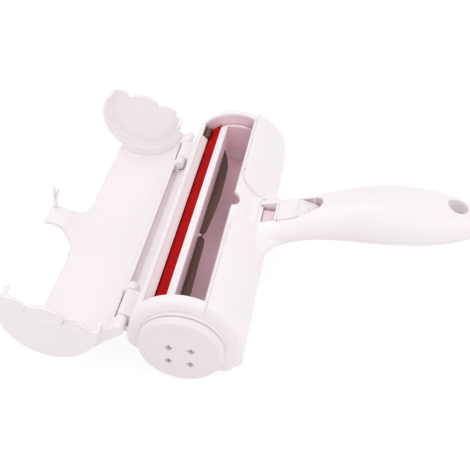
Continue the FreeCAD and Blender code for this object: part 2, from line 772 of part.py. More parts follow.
def trough_side(offset):
    """Top and foot of the trough's front side, moved outwards by an offset."""
    top = polar(DRUM_R + VELVET, RAIL_INNER)
    return (top[0] - offset, top[1]), (-TROUGH_FLOOR_HALF - offset, TROUGH_FLOOR_Z)


def drum_trough():
    """Open trough between the two rails: walls leaning in to a round floor."""
    half = CHAMBER_HALF - DRUM_PLAY - DRUM_END
    in_top, in_foot = trough_side(0.0)
    out_top, out_foot = trough_side(TROUGH_WALL)
    out_top = (out_top[0], DRUM_R - 4.0)
    sag = TROUGH_FLOOR_Z - 1.9
    shape = section(
        in_top, in_foot, ((0.0, sag), (-in_foot[0], in_foot[1])), (-in_top[0], in_top[1]),
        (-out_top[0], out_top[1]), (-out_foot[0], out_foot[1]), ((0.0, sag - TROUGH_WALL), out_foot), out_top,
    )
    room = section(
        in_top, in_foot, ((0.0, sag), (-in_foot[0], in_foot[1])), (-in_top[0], in_top[1]),
        (-in_top[0], DRUM_R + 3.0), (in_top[0], DRUM_R + 3.0),
    )
    rail = ring_sector(DRUM_R - DRUM_WALL - 0.6, DRUM_R + VELVET, RAIL_INNER - 3, RAIL_OUTER)
    other = ring_sector(DRUM_R - DRUM_WALL - 0.6, DRUM_R + VELVET, 180 - RAIL_OUTER, 183 - RAIL_INNER)
    trough = prism(shape, -half, half).fuse([prism(rail, -half, half), prism(other, -half, half)])
    return merged(trough.cut(prism(room, -half - 1, half + 1)))


def velvet(angle_from, angle_to):
    half = CHAMBER_HALF - DRUM_PLAY
    return prism(ring_sector(DRUM_R, DRUM_R + VELVET, angle_from, angle_to), -half, half)


def hair_flap():
    """Brown rubber flap on the front side of the trough; its free edge bulges in the far half."""
    foot = trough_side(0.0)[1]
    tilt = math.radians(DRUM_TILT)
    root = foot[0] * math.cos(tilt) + foot[1] * math.sin(tilt) - 0.5
    plan = [
        (root, -69.0), (-2.2, -69.0), ((-2.1, -44.0), (-2.7, -18.5)), (-4.6, -15.0), (-4.6, -13.0),
        (-4.0, -9.0), ((0.4, 26.0), (-2.2, 55.0)), (-5.4, 64.5), (root, 64.5),
    ]
    return plan_prism(plan, FLAP_Z, FLAP_Z + FLAP_THICK).cut(swung(drum_trough(), -DRUM_TILT))


def end_disc():
    """End disc with a bevelled rim, four diamond holes and the stub that carries the drum."""
    back = HEAD_END + COLLAR_WIDTH + DISC_PLAY
    face = back + DISC_THICK
    inner_end = CHAMBER_HALF - DRUM_PLAY - DRUM_END
    body = turned_profile([
        (0, back), (DISC_BACK_R - 0.6, back), ((DISC_BACK_R - 0.1, back + 0.2), (DISC_BACK_R, back + 0.8)),
        (DISC_BACK_R - 0.2, back + 1.9), (DISC_FACE_R + 0.6, face - 1.2),
        ((DISC_FACE_R + 0.2, face - 0.3), (DISC_FACE_R - 0.7, face)), (0, face),
    ], 0, 360)
    body = body.fuse(rod(STUB_R, inner_end, back + 1))
    for x in (-DISC_HOLES_X, DISC_HOLES_X):
        for z in (-DISC_HOLES_Z - DISC_HOLES_DROP, DISC_HOLES_Z - DISC_HOLES_DROP):
            hole = section((x - DIAMOND_HALF, z), (x, z - DIAMOND_HALF), (x + DIAMOND_HALF, z), (x, z + DIAMOND_HALF))
            body = body.cut(prism(hole, face - DIAMOND_DEEP, face + 1))
    return merged(body)


def bush():
    start, end = CHAMBER_HALF, HEAD_END
    return rod(BUSH_R, start, end).cut(rod(BUSH_BORE_R, start - 1, end + 1))


def main():
    os.makedirs("parts", exist_ok=True)
    pieces = {
        "upper_shell": upper_shell(),
        "lower_shell": lower_shell(),
        "handle_screws": handle_screws(),
        "front_plate": front_plate(),
        "front_lip": front_lip(),
        "rear_lip": rear_lip(),
        "release_button": release_button(),
        "button_pin": button_pin(),
        "button_spring": button_spring(),
        "lid_shell": lid_shell(),
        "hinge_pin_far": hinge_pin(),
        "hinge_pin_near": mirrored(hinge_pin()),
        "drum_shell": swung(drum_shell(), -DRUM_TILT),
        "drum_trough": swung(drum_trough(), -DRUM_TILT),
        "velvet_front": swung(velvet(RAIL_OUTER, 270 - VELVET_GAP), -DRUM_TILT),
        "velvet_rear": swung(velvet(270 + VELVET_GAP, 540 - RAIL_OUTER), -DRUM_TILT),
        "hair_flap": hair_flap(),
        "end_disc_far": swung(end_disc(), DISC_TURN - DRUM_TILT),
        "end_disc_near": swung(mirrored(end_disc()), DISC_TURN - DRUM_TILT),
        "bush_far": bush(),
        "bush_near": mirrored(bush()),
    }
    for node, shape in pieces.items():
        shape.translate(Vector(0, HEAD_END - END_WALL / 2, AXIS_HEIGHT))
        shape.exportStep("parts/" + node + ".step")
        print(node, len(shape.Solids), shape.isValid(), round(shape.Volume / 1000, 2), "cm3", shape.BoundBox)


main()
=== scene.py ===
"""Dressed scene of the pet hair brush: finishes, rounded detail, the photograph's camera, floor and light."""
import math

import bmesh
import bpy
from mathutils import Matrix, Vector


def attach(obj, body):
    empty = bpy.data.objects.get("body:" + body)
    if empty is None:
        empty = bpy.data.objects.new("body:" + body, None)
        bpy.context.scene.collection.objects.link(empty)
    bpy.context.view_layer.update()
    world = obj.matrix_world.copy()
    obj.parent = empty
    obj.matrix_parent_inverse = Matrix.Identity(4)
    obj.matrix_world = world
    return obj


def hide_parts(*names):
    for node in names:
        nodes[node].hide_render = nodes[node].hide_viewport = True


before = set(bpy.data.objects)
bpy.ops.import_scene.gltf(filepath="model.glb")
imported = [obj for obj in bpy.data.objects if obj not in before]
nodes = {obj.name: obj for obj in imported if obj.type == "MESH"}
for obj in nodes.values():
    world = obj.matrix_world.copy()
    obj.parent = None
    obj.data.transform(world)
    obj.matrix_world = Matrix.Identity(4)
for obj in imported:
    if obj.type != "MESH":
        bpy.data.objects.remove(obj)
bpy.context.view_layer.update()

MM = 0.001
HEAD_MIDDLE = 78.5
AXIS_HEIGHT = 22.4
SHELL_R = 30.2
LID_INNER_R = 28.2
NAP_R = 21.9
NAP_LENGTH = 149.6
DRUM_TILT = 14.0
HINGE = (-32.5, 2.5)
LID_OPEN = 170.5
CUP_FACE = 91.8
PIN_ALONG_Y = (math.pi / 2, 0, 0)


def at(x, y, z):
    """A place given in millimetres from the middle of the drum's axis, in the scene."""
    return Vector((x, y + HEAD_MIDDLE, z + AXIS_HEIGHT)) * MM


def round_drum(radius, angle, y):
    """A place at a radius and an angle about the drum's axis."""
    turn = math.radians(angle)
    return at(radius * math.cos(turn), y, radius * math.sin(turn))


# Materials

class Value:
    """A node socket that works in Python arithmetic."""

    def __init__(self, tree, socket):
        self.tree = tree
        self.socket = socket

    def math(self, operation, *others):
        node = self.tree.nodes.new("ShaderNodeMath")
        node.operation = operation
        for slot, term in zip(node.inputs, (self,) + others):
            plug(self.tree, slot, term)
        return Value(self.tree, node.outputs[0])

    def swapped(self, operation, other):
        node = self.tree.nodes.new("ShaderNodeMath")
        node.operation = operation
        plug(self.tree, node.inputs[0], other)
        plug(self.tree, node.inputs[1], self)
        return Value(self.tree, node.outputs[0])

    def __add__(self, other):
        return self.math("ADD", other)

    def __sub__(self, other):
        return self.math("SUBTRACT", other)

    def __mul__(self, other):
        return self.math("MULTIPLY", other)

    def __rsub__(self, other):
        return self.swapped("SUBTRACT", other)

    def beyond(self, start, end):
        """Rises smoothly from 0 at the start to 1 at the end."""
        node = self.tree.nodes.new("ShaderNodeMapRange")
        node.interpolation_type = "SMOOTHSTEP"
        plug(self.tree, node.inputs[0], self)
        node.inputs[1].default_value = start
        node.inputs[2].default_value = end
        return Value(self.tree, node.outputs[0])


def plug(tree, slot, term):
    """Puts a number, a colour or a socket into a node's input."""
    if isinstance(term, Value):
        tree.links.new(slot, term.socket)
    else:
        slot.default_value = term


def ink(red, green, blue):
    """Colour from the 0 to 255 scale of a picture."""
    shares = [channel / 255 for channel in (red, green, blue)]
    return (*(c / 12.92 if c <= 10 / 255 else ((c + 0.055) / 1.055) ** 2.4 for c in shares), 1.0)


class Finish:
    """One node material: Principled shader, object coordinates, and a method that adds any node."""

    def __init__(self, name, colour, roughness, **sockets):
        self.material = bpy.data.materials.new(name)
        self.material.use_nodes = True
        self.tree = self.material.node_tree
        self.shader = self.tree.nodes["Principled BSDF"]
        self.place = self.add("ShaderNodeTexCoord", output="Object")
        self.set(Base_Color=colour, Roughness=roughness, **sockets)

    def set(self, **sockets):
        for name, term in sockets.items():
            plug(self.tree, self.shader.inputs[name.replace("_", " ")], term)

    def add(self, kind, output=0, settings=None, **inputs):
        node = self.tree.nodes.new(kind)
        for name, value in (settings or {}).items():
            setattr(node, name, value)
        for name, term in inputs.items():
            key = int(name[1:]) if name[0] == "_" else name.replace("_", " ")
            plug(self.tree, node.inputs[key], term)
        return Value(self.tree, node.outputs[output])

    def axes(self):
        """Distances in metres from the middle of the drum's axis, along x, y and z."""
        split = self.add("ShaderNodeSeparateXYZ", _0=self.place).socket.node
        x, y, z = (Value(self.tree, output) for output in split.outputs)
        return x, y - HEAD_MIDDLE * MM, z - AXIS_HEIGHT * MM

    def from_axis(self):
        x, _, z = self.axes()
        return (x * x + z * z).math("SQRT")

    def noise(self, scale, detail=2.0, roughness=0.5, vector=None):
        return self.add("ShaderNodeTexNoise", Vector=vector or self.place, Scale=scale, Detail=detail,
                        Roughness=roughness)

    def stretched(self, x, y, z):
        """Object coordinates scaled unevenly, so that a pattern runs in streaks."""
        return self.add("ShaderNodeMapping", Vector=self.place, Scale=(x, y, z))

    def ramp(self, factor, *stops):
        node = self.tree.nodes.new("ShaderNodeValToRGB")
        marks = node.color_ramp.elements
        while len(marks) < len(stops):
            marks.new(0.5)
        for mark, (position, colour) in zip(marks, stops):
            mark.position = position
            mark.color = colour
        plug(self.tree, node.inputs[0], factor)
        return Value(self.tree, node.outputs[0])

    def blend(self, factor, first, second):
        """Mixes two colours. The node's colour inputs are numbers 6 and 7, and its output is number 2."""
        return self.add("ShaderNodeMix", output=2, settings={"data_type": "RGBA"},
                        Factor=factor, _6=first, _7=second)

    def relief(self, height, strength, distance=0.0004, soft_edge=0.0):
        edge = {}
        if soft_edge:
            edge["Normal"] = self.add("ShaderNodeBevel", settings={"samples": 6}, Radius=soft_edge)
        bump = self.add("ShaderNodeBump", Height=height, Strength=strength, Distance=distance, **edge)
        self.set(Normal=bump)


# The button's recess, in metres from the middle of the drum's axis

RECESS_START = 0.0343
RECESS_END = 0.0582
RECESS_FLOOR = 0.0120
RECESS_HALF = 0.00758
TAPER_FROM = 0.0450
TAPER = 0.2564
NOSE_MIDDLE = 0.05265
NOSE_R = 0.00543
RIM_FROM = 0.0346
RIM_HEIGHT = 0.0187
RIM_SLOPE = 0.51


def recess_shade_mask(finish):
    """1 on the walls and the floor of the button's recess, where painted shade goes, 0 elsewhere. Its plan
    tapers to a round nose.
    """
    x, y, z = finish.axes()
    along = x.beyond(RECESS_START, RECESS_START + 0.0003) * (1 - x.beyond(RECESS_END, RECESS_END + 0.0002))
    taper = (x - TAPER_FROM).math("MAXIMUM", 0.0) * TAPER
    sides = (y.math("ABSOLUTE") + taper).beyond(RECESS_HALF, RECESS_HALF + 0.00008)
    from_nose = x - NOSE_MIDDLE
    reach = (from_nose * from_nose + y * y).math("SQRT")
    in_nose = x.beyond(NOSE_MIDDLE - 0.00005, NOSE_MIDDLE + 0.00005)
    past_nose = in_nose * reach.beyond(NOSE_R, NOSE_R + 0.00008)
    under_rim = 1 - (z - (x - RIM_FROM) * RIM_SLOPE).beyond(RIM_HEIGHT, RIM_HEIGHT + 0.0005)
    over_floor = z.beyond(RECESS_FLOOR, RECESS_FLOOR + 0.0005)
    return along * (1 - sides) * (1 - past_nose) * under_rim * over_floor


def moulded(name, light, dark, roughness, grain, coat=0.0, soft_edge=0.0005, inside=None, recess=None):
    """Moulded plastic: faint cloudy tone, uneven gloss and a fine spark-eroded grain. The inside colour is
    painted shade on the walls close to the drum's axis, and the recess colour is painted shade in the
    button's recess."""
    finish = Finish(name, light, roughness, Coat_Weight=coat, Coat_Roughness=0.12, IOR=1.5)
    tone = finish.ramp(finish.noise(18.0, 3.0), (0.3, dark), (0.62, light))
    # Painted shade: walls nearer the drum's axis than near_axis, between the ends, take the inside colour
    if inside:
        near_axis, colour, ends = inside
        _, y, _ = finish.axes()
        deep_shade = 1 - finish.from_axis().beyond(near_axis, near_axis + 0.0006)
        between = 1 - y.math("ABSOLUTE").beyond(ends, ends + 0.0004)
        tone = finish.blend(deep_shade * between, tone, colour)
    # Painted shade: the button's recess takes the recess colour
    if recess:
        tone = finish.blend(recess_shade_mask(finish), tone, recess)
    finish.set(Base_Color=tone)
    finish.set(Roughness=finish.noise(260.0, 2.0) * 0.10 + (roughness - 0.05))
    finish.relief(finish.noise(1900.0, 2.0), grain, 0.0003, soft_edge)
    return finish.material


PALE = ink(252, 245, 248)
PALE_DIM = ink(249, 242, 245)
# Painted shade for the walls deep in the chamber and in the drum's trough, near the drum's axis
INSIDE_SHADE = ink(250, 222, 230)
# The shell's recess colour is painted shade in the button's recess
white_shell = moulded("white_shell", PALE, PALE_DIM, 0.34, 0.05, coat=0.15,
                       inside=(0.0262, INSIDE_SHADE, 0.0758), recess=ink(214, 186, 198))
lid_white = moulded("lid_white", PALE, PALE_DIM, 0.36, 0.05, coat=0.15)
web_white = moulded("web_white", PALE, PALE_DIM, 0.34, 0.05, coat=0.15, soft_edge=0.0)
# The drum's inside colour is painted shade in its trough
white_drum = moulded("white_drum", PALE_DIM, ink(246, 238, 241), 0.42, 0.06,
                      inside=(0.0208, INSIDE_SHADE, 0.09))
disc_white = moulded("disc_white", ink(246, 237, 241), ink(243, 234, 238), 0.45, 0.10, soft_edge=0.0004)
# Painted shade: the pink of the floor and the far wall in the latch window
latch_shade = moulded("latch_shade_floor", ink(248, 226, 231), ink(244, 220, 226), 0.4, 0.05)
mauve_shade = moulded("mauve_shade", ink(250, 238, 242), ink(244, 230, 236), 0.5, 0.06)

rubber = Finish("brown_rubber", ink(96, 68, 62), 0.5)
streak = rubber.noise(1.0, 4.0, vector=rubber.stretched(420.0, 26.0, 420.0))
rubber.set(Base_Color=rubber.ramp(streak, (0.3, ink(78, 52, 46)), (0.7, ink(118, 90, 82))))
rubber.set(Roughness=streak * 0.25 + 0.38)
rubber.relief(streak + rubber.noise(2200.0, 2.0) * 0.4, 0.18)

velvet = Finish("red_velvet", ink(180, 2, 6), 0.95)
lay = velvet.noise(1.0, 3.0, vector=velvet.stretched(900.0, 1500.0, 900.0))
patch = velvet.noise(70.0, 2.0)
velvet.set(Base_Color=velvet.ramp(lay * 0.7 + patch * 0.3, (0.35, ink(150, 0, 3)), (0.65, ink(204, 4, 10))))
velvet.set(Specular_IOR_Level=0.15, Sheen_Weight=0.06, Sheen_Roughness=0.4, Sheen_Tint=ink(255, 60, 60))
velvet.relief(lay, 0.5)

steel = Finish("steel", ink(190, 188, 190), 0.3, Metallic=1.0)
steel.set(Roughness=steel.noise(1.0, 3.0, vector=steel.stretched(2600.0, 120.0, 2600.0)) * 0.2 + 0.2)
steel.relief(steel.noise(900.0, 3.0), 0.08)

FINISH = {
    "upper_shell": white_shell, "lower_shell": lid_white, "lid_shell": lid_white,
    "front_plate": lid_white, "release_button": lid_white,
    "drum_shell": white_drum, "drum_trough": white_drum, "bush_near": white_drum, "bush_far": white_drum,
    "end_disc_near": disc_white, "end_disc_far": disc_white,
    "velvet_front": velvet.material, "velvet_rear": velvet.material,
    "front_lip": rubber.material, "rear_lip": rubber.material, "hair_flap": rubber.material,
    "handle_screws": steel.material, "hinge_pin_near": steel.material, "hinge_pin_far": steel.material,
    "button_pin": steel.material, "button_spring": steel.material,
}


# Modelling steps

def dress(piece, material):
    piece.data.materials.clear()
    piece.data.materials.append(material)


def rest_all():
    """Nothing selected, so that an operator reaches only what is picked next."""
    if bpy.context.object and bpy.context.object.mode != "OBJECT":
        bpy.ops.object.mode_set(mode="OBJECT")
    bpy.ops.object.select_all(action="DESELECT")


def take(piece):
    rest_all()
    piece.select_set(True)
    bpy.context.view_layer.objects.active = piece
    return piece


def pick(piece, kind, wanted):
    """Selects the vertices, edges or faces of a piece that a test wants, in edit mode."""
    bpy.ops.object.mode_set(mode="EDIT")
    bpy.ops.mesh.select_mode(type={"verts": "VERT", "edges": "EDGE", "faces": "FACE"}[kind])
    bpy.ops.mesh.select_all(action="DESELECT")
    shape = bmesh.from_edit_mesh(piece.data)
    for part in getattr(shape, kind):
        if wanted(part):
            part.select_set(True)
    shape.select_flush_mode()
    bmesh.update_edit_mesh(piece.data)


def centre(part):
    """Middle of an edge or a face."""
    return sum((corner.co for corner in part.verts), Vector()) / len(part.verts)


def settle(piece):
    """Applies the piece's place, turn and scale, so that its object sits at the origin."""
    take(piece)
    bpy.ops.object.transform_apply(location=True, rotation=True, scale=True)


def modify(piece, kind, **settings):
    """Adds a modifier and applies it at once."""
    take(piece)
    modifier = piece.modifiers.new(kind.lower(), kind)
    for name, value in settings.items():
        setattr(modifier, name, value)
    bpy.ops.object.modifier_apply(modifier=modifier.name)


def outwards(piece):
    """Merges doubles and turns the faces of a closed piece outwards."""
    take(piece)
    bpy.ops.object.mode_set(mode="EDIT")
    bpy.ops.mesh.select_all(action="SELECT")
    bpy.ops.mesh.remove_doubles(threshold=0.000002)
    bpy.ops.mesh.normals_make_consistent(inside=False)
    bpy.ops.object.mode_set(mode="OBJECT")


def round_edges(piece, width, segments, angle):
    """Rounds the edges that turn by more than an angle in degrees. The width is in millimetres."""
    modify(piece, "BEVEL", width=width * MM, segments=segments, limit_method="ANGLE",
           angle_limit=math.radians(angle))


def block(middle, size):
    """A box, with its middle and its size in millimetres."""
    rest_all()
    bpy.ops.mesh.primitive_cube_add(size=1.0, location=at(*middle), scale=[length * MM for length in size])
    piece = bpy.context.object
    settle(piece)
    return piece


def fit(piece, name, body, material, angle=32):
    """Names a finished piece, smooths its shading, dresses it and lets it ride on its body."""
    take(piece)
    bpy.ops.object.shade_smooth_by_angle(angle=math.radians(angle))
    piece.name = name
    dress(piece, material)
    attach(piece, body)
    return piece


def skinned(name, rings):
    """A closed piece skinned over rings of points."""
    mesh = bmesh.new()
    loops = [[mesh.verts.new(point) for point in ring] for ring in rings]
    for low, high in zip(loops, loops[1:]):
        for k in range(len(low)):
            mesh.faces.new((low[k - 1], low[k], high[k], high[k - 1]))
    mesh.faces.new(reversed(loops[0]))
    mesh.faces.new(loops[-1])
    data = bpy.data.meshes.new(name)
    mesh.to_mesh(data)
    mesh.free()
    piece = bpy.data.objects.new(name, data)
    bpy.context.collection.objects.link(piece)
    outwards(piece)
    return piece


def open_lid(piece):
    """Swings a piece that was modelled on the closed lid to the open lid."""
    hinge = at(HINGE[0], 0, HINGE[1])
    swing = Matrix.Rotation(math.radians(-LID_OPEN), 4, "Y")
    piece.matrix_world = Matrix.Translation(hinge) @ swing @ Matrix.Translation(-hinge) @ piece.matrix_world
    settle(piece)


# Velvet strips

NAP_GRAIN = 0.0012
NAP_RELIEF = 0.00034
NAP_THICK = 0.00066
LENGTH_CUTS = (39, 5)

# Angles of the strips' long edges before the drum is tilted. The rear strip mirrors the front one.

STRIP_FRONT = (131.6, 261.9)
STRIP_REAR = (540 - STRIP_FRONT[1], 540 - STRIP_FRONT[0])


def velvet_strip(name, node, edges):
    """An arc of a tube, cut fine along its length, with a nap raised on it and a backing."""
    start, end = (angle - DRUM_TILT for angle in edges)
    rest_all()
    bpy.ops.mesh.primitive_cylinder_add(
        vertices=360, radius=(NAP_R - 0.15) * MM, depth=NAP_LENGTH * MM, end_fill_type="NOTHING",
        location=at(0, 0, 0), rotation=PIN_ALONG_Y,
    )
    strip = bpy.context.object
    settle(strip)
    middle = at(0, 0, 0)

    def outside(face):
        place = centre(face) - middle
        angle = math.degrees(math.atan2(place.z, place.x)) % 360
        return (angle - start) % 360 > end - start

    pick(strip, "faces", outside)
    bpy.ops.mesh.delete(type="FACE")
    for cuts in LENGTH_CUTS:
        pick(strip, "edges", lambda edge: abs(edge.verts[0].co.y - edge.verts[1].co.y) > 0.001)
        bpy.ops.mesh.subdivide(number_cuts=cuts)
    bpy.ops.object.mode_set(mode="OBJECT")
    nap = bpy.data.textures.new(name + "_nap", "CLOUDS")
    nap.noise_scale = NAP_GRAIN
    nap.noise_depth = 1
    modify(strip, "DISPLACE", texture=nap, strength=NAP_RELIEF, mid_level=0.5)
    modify(strip, "SOLIDIFY", thickness=NAP_THICK, offset=-1)
    outwards(strip)
    fit(strip, name, "drum", velvet.material, 60)
    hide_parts(node)


velvet_strip("velvet_nap_front", "velvet_front", STRIP_FRONT)
velvet_strip("velvet_nap_rear", "velvet_rear", STRIP_REAR)


# Rubber hair flap: its free edge as y and x, and its section as a share of the reach and a height

FLAP_EDGE = (
    (-69.0, -0.9), (-57.0, -0.8), (-38.0, -1.2), (-22.0, -1.5), (-18.2, -1.9), (-16.6, -3.3), (-15.2, -4.4),
    (-13.6, -2.9), (-11.0, -2.2), (-4.0, -1.6), (6.0, -0.7), (20.0, -0.1), (34.0, -0.3), (45.5, -0.8),
    (53.7, -2.6), (59.7, -4.9), (63.5, -6.3),
)
FLAP_SECTION = ((0.0, 8.7), (0.25, 8.5), (0.5, 8.75), (0.8, 9.1), (1.0, 9.75))
FLAP_ROOT = -7.3
FLAP_STEPS = 132
FLAP_THICK = 0.9
FLAP_RIPPLE = 0.12
RIPPLE_RATE = 0.35
TOOTH_MIDDLE = (-5.6, -15.4, 9.6)
TOOTH_SIZE = (3.4, 2.6, 1.4)
TOOTH_TIP = (-3.9, -14.6, 9.6)


def edge_at(y):
    """Where the flap's free edge runs at a place along the drum."""
    for (y0, x0), (y1, x1) in zip(FLAP_EDGE, FLAP_EDGE[1:]):
        if y <= y1:
            return x0 + (x1 - x0) * (y - y0) / (y1 - y0)
    return FLAP_EDGE[-1][1]


def hair_flap():
    """A sheet with its free edge pulled out to the bulge, creased along its length, as thick as rubber."""
    rest_all()
    bpy.ops.mesh.primitive_grid_add(x_subdivisions=len(FLAP_SECTION) - 1, y_subdivisions=FLAP_STEPS, size=1.0)
    flap = bpy.context.object
    first, last = FLAP_EDGE[0][0], FLAP_EDGE[-1][0]
    for corner in flap.data.vertices:
        share, height = FLAP_SECTION[round((corner.co.x + 0.5) * (len(FLAP_SECTION) - 1))]
        y = first + (corner.co.y + 0.5) * (last - first)
        reach = edge_at(y) - FLAP_ROOT
        ripple = FLAP_RIPPLE * math.sin(y * RIPPLE_RATE)
        corner.co = at(FLAP_ROOT + share * reach, y, height + ripple * share)
    modify(flap, "SOLIDIFY", thickness=FLAP_THICK * MM, offset=0)
    modify(flap, "SUBSURF", levels=1, render_levels=1)
    outwards(flap)
    fit(flap, "hair_flap_blade", "drum", rubber.material, 50)
    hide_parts("hair_flap")


hair_flap()


def flap_tooth():
    """The white tooth of the trough that shows through the flap's notch."""
    tooth = block(TOOTH_MIDDLE, TOOTH_SIZE)
    middle = at(*TOOTH_MIDDLE).x
    pick(tooth, "verts", lambda corner: corner.co.x > middle)
    bpy.ops.transform.resize(value=(1, 0.25, 0.5), center_override=at(*TOOTH_TIP))
    bpy.ops.object.mode_set(mode="OBJECT")
    modify(tooth, "BEVEL", width=0.0003, segments=3, limit_method="NONE")
    fit(tooth, "flap_tooth", "drum", lid_white)


flap_tooth()


# Flares from the handle's root into the head

FLARE_LOW = 3.0
FLARE_HIGH = 17.8
FLARE_MIDDLE = 11.2
FLARE_OUT = 16.0
FLARE_ALONG = 24.0
FLARE_LEVELS = 30
FLARE_STEPS = 18
FLARE_SUNK = 0.03
FLARE_FADE = 1.7
WALL_PULL = 0.62
SIDE_PULL = 0.6
VALLEY_FROM = 14.5
VALLEY_HALF = 11.0
VALLEY_WIDENS = 0.8
VALLEY_MOST = 12.6
HANDLE_SECTIONS = (
    (29.0, 11.2, 18.8, 8.2), (36.0, 12.9, 15.8, 9.1), (45.0, 16.3, 14.5, 9.5), (56.0, 20.6, 14.9, 10.3),
)


def handle_side(x, z):
    """Half width of the handle at a place along it and a height. A section gives x, the height of its middle,
    half its width and half its thickness."""
    for (x0, *low), (x1, *high) in zip(HANDLE_SECTIONS, HANDLE_SECTIONS[1:]):
        if x <= x1:
            share = max(0.0, (x - x0) / (x1 - x0))
            middle, half, thick = (a + (b - a) * share for a, b in zip(low, high))
            return half * math.sqrt(max(0.03, 1 - ((z - middle) / thick) ** 2))
    return HANDLE_SECTIONS[-1][2]


def root_flare(name, side):
    """A web in the corner between the handle and the head. At each height it runs out tangent to the head's
    wall and to the handle's side, and it fades away upwards and downwards. Near its top it keeps clear of the
    valley between the lobes."""
    rings = []
    for level in range(FLARE_LEVELS + 1):
        z = FLARE_LOW + (FLARE_HIGH - FLARE_LOW) * level / FLARE_LEVELS
        reach = FLARE_HIGH - FLARE_MIDDLE if z > FLARE_MIDDLE else FLARE_MIDDLE - FLARE_LOW
        size = max(0.01, (1 - ((z - FLARE_MIDDLE) / reach) ** 2) ** FLARE_FADE)
        wall_x = math.sqrt(SHELL_R ** 2 - z ** 2) - FLARE_SUNK
        end_x = wall_x + FLARE_OUT * size
        least = 0.0
        if z > VALLEY_FROM:
            least = min(VALLEY_MOST, VALLEY_HALF + (z - VALLEY_FROM) * VALLEY_WIDENS)
        side_y = max(least, handle_side(end_x, z) - FLARE_SUNK)
        lean = handle_side(end_x + 0.5, z) - handle_side(end_x - 0.5, z)
        wall_y = max(least, handle_side(wall_x, z)) + FLARE_ALONG * size
        back = SIDE_PULL * (end_x - wall_x)
        knots = ((wall_x, wall_y), (wall_x, wall_y - WALL_PULL * (wall_y - side_y)),
                 (end_x - back, side_y - back * lean), (end_x, side_y))
        ring = []
        for step in range(FLARE_STEPS + 1):
            t = step / FLARE_STEPS
            weights = ((1 - t) ** 3, 3 * t * (1 - t) ** 2, 3 * t * t * (1 - t), t ** 3)
            x, y = (sum(w * knot[k] for w, knot in zip(weights, knots)) for k in (0, 1))
            ring.append(at(x, side * y, z))
        # The back of the web, inside the head and the handle
        ring.append(at(end_x - 0.4, side * (side_y - 0.6), z))
        ring.append(at(wall_x - 1.2, side * (side_y - 0.6), z))
        ring.append(at(wall_x - 1.2, side * (wall_y - 0.4), z))
        rings.append(ring)
    flare = skinned(name, rings)
    fit(flare, name, "body", web_white, 60)


root_flare("root_flare_near", -1)
root_flare("root_flare_far", 1)


# Toe pads on the lid's cups

PAD_DEPTH = 2.0
PAD_RIM = 0.0011
PAD_HOLLOW = 0.0006


def toe_pad(name, side, x, z, half_x, half_z):
    """A low oval pad with a rounded rim, raised on the outside of a cup."""
    rest_all()
    bpy.ops.mesh.primitive_cylinder_add(
        vertices=72, radius=1.0, depth=PAD_DEPTH * MM, location=at(x, side * CUP_FACE, z),
        rotation=PIN_ALONG_Y, scale=(half_x * MM, half_z * MM, 1),
    )
    pad = bpy.context.object
    settle(pad)
    outer = at(0, side * (CUP_FACE + 0.5), 0).y
    pick(pad, "faces", lambda face: len(face.verts) > 4 and (centre(face).y - outer) * side > 0)
    bpy.ops.mesh.inset(thickness=PAD_RIM)
    bpy.ops.transform.translate(value=(0, -side * PAD_HOLLOW, 0))
    bpy.ops.object.mode_set(mode="OBJECT")
    round_edges(pad, 0.4, 3, 20)
    outwards(pad)
    open_lid(pad)
    fit(pad, name, "lid", lid_white)


for end, side in (("near", -1), ("far", 1)):
    toe_pad("toe_pad_middle_" + end, side, 1.2, -6.4, 9.6, 5.9)
    toe_pad("toe_pad_hinge_" + end, side, -14.4, -3.8, 6.4, 4.4)


# Lips and ear caps at the lid's hinge, and the shelf under the gap beside it

LIP_FROM = 162.5
LIP_STEP = 1.7
LIP_THICK = 0.9
LIP_POINTS = 6
EAR_CAP_R = 2.86
EAR_CAP_THICK = 1.6
EAR_CAP_Y = 51.7
GUTTER_MIDDLE = (-34.6, 0, -3.5)
GUTTER_SIZE = (4.4, 104, 1.0)
GUTTER_RAISE = 0.6


def hinge_lip(name, y_from, y_to):
    """The thin lip of the lid's wall over a hinge barrel."""
    rings = []
    for y in (y_from, y_to):
        turns = [LIP_FROM + LIP_STEP * k for k in range(LIP_POINTS)]
        inner = [round_drum(LID_INNER_R, turn, y) for turn in turns]
        outer = [round_drum(LID_INNER_R + LIP_THICK, turn, y) for turn in turns]
        rings.append(inner + outer[::-1])
    lip = skinned(name, rings)
    round_edges(lip, 0.25, 2, 40)
    open_lid(lip)
    fit(lip, name, "lid", lid_white)


hinge_lip("hinge_lip_far", 56.2, 73.8)
hinge_lip("hinge_lip_near", -73.8, -56.2)


def ear_cap(name, y):
    """A rounded cap over the pin's hole in a hinge ear."""
    rest_all()
    bpy.ops.mesh.primitive_cylinder_add(
        vertices=64, radius=EAR_CAP_R * MM, depth=EAR_CAP_THICK * MM,
        location=at(HINGE[0], y, HINGE[1]), rotation=PIN_ALONG_Y,
    )
    cap = bpy.context.object
    settle(cap)
    round_edges(cap, 0.7, 4, 40)
    fit(cap, name, "lid", lid_white)


ear_cap("ear_cap_near", -EAR_CAP_Y)
ear_cap("ear_cap_far", EAR_CAP_Y)


def hinge_gutter():
    """A narrow shelf on the front wall's rail, under the gap beside the open lid."""
    gutter = block(GUTTER_MIDDLE, GUTTER_SIZE)
    inner = at(*GUTTER_MIDDLE).x - 1.0 * MM
    pick(gutter, "faces", lambda face: centre(face).x < inner)
    bpy.ops.transform.translate(value=(0, 0, GUTTER_RAISE * MM))
    bpy.ops.object.mode_set(mode="OBJECT")
    round_edges(gutter, 0.2, 2, 40)
    fit(gutter, "hinge_gutter", "body", mauve_shade)


hinge_gutter()


# Release button

TONGUE_TRIM = 33.9
PANEL_SPLIT = 45.6
REAR_DROP = 0.3
BUTTON_WIDEN = 0.03
DIMPLE = (52.4, -0.9)
DIMPLE_R = 2.3
DIMPLE_LIFT = 1.3
RIB_MIDDLE = (45.2, 0, 24.7)
RIB_SIZE = (0.9, 14.0, 1.9)


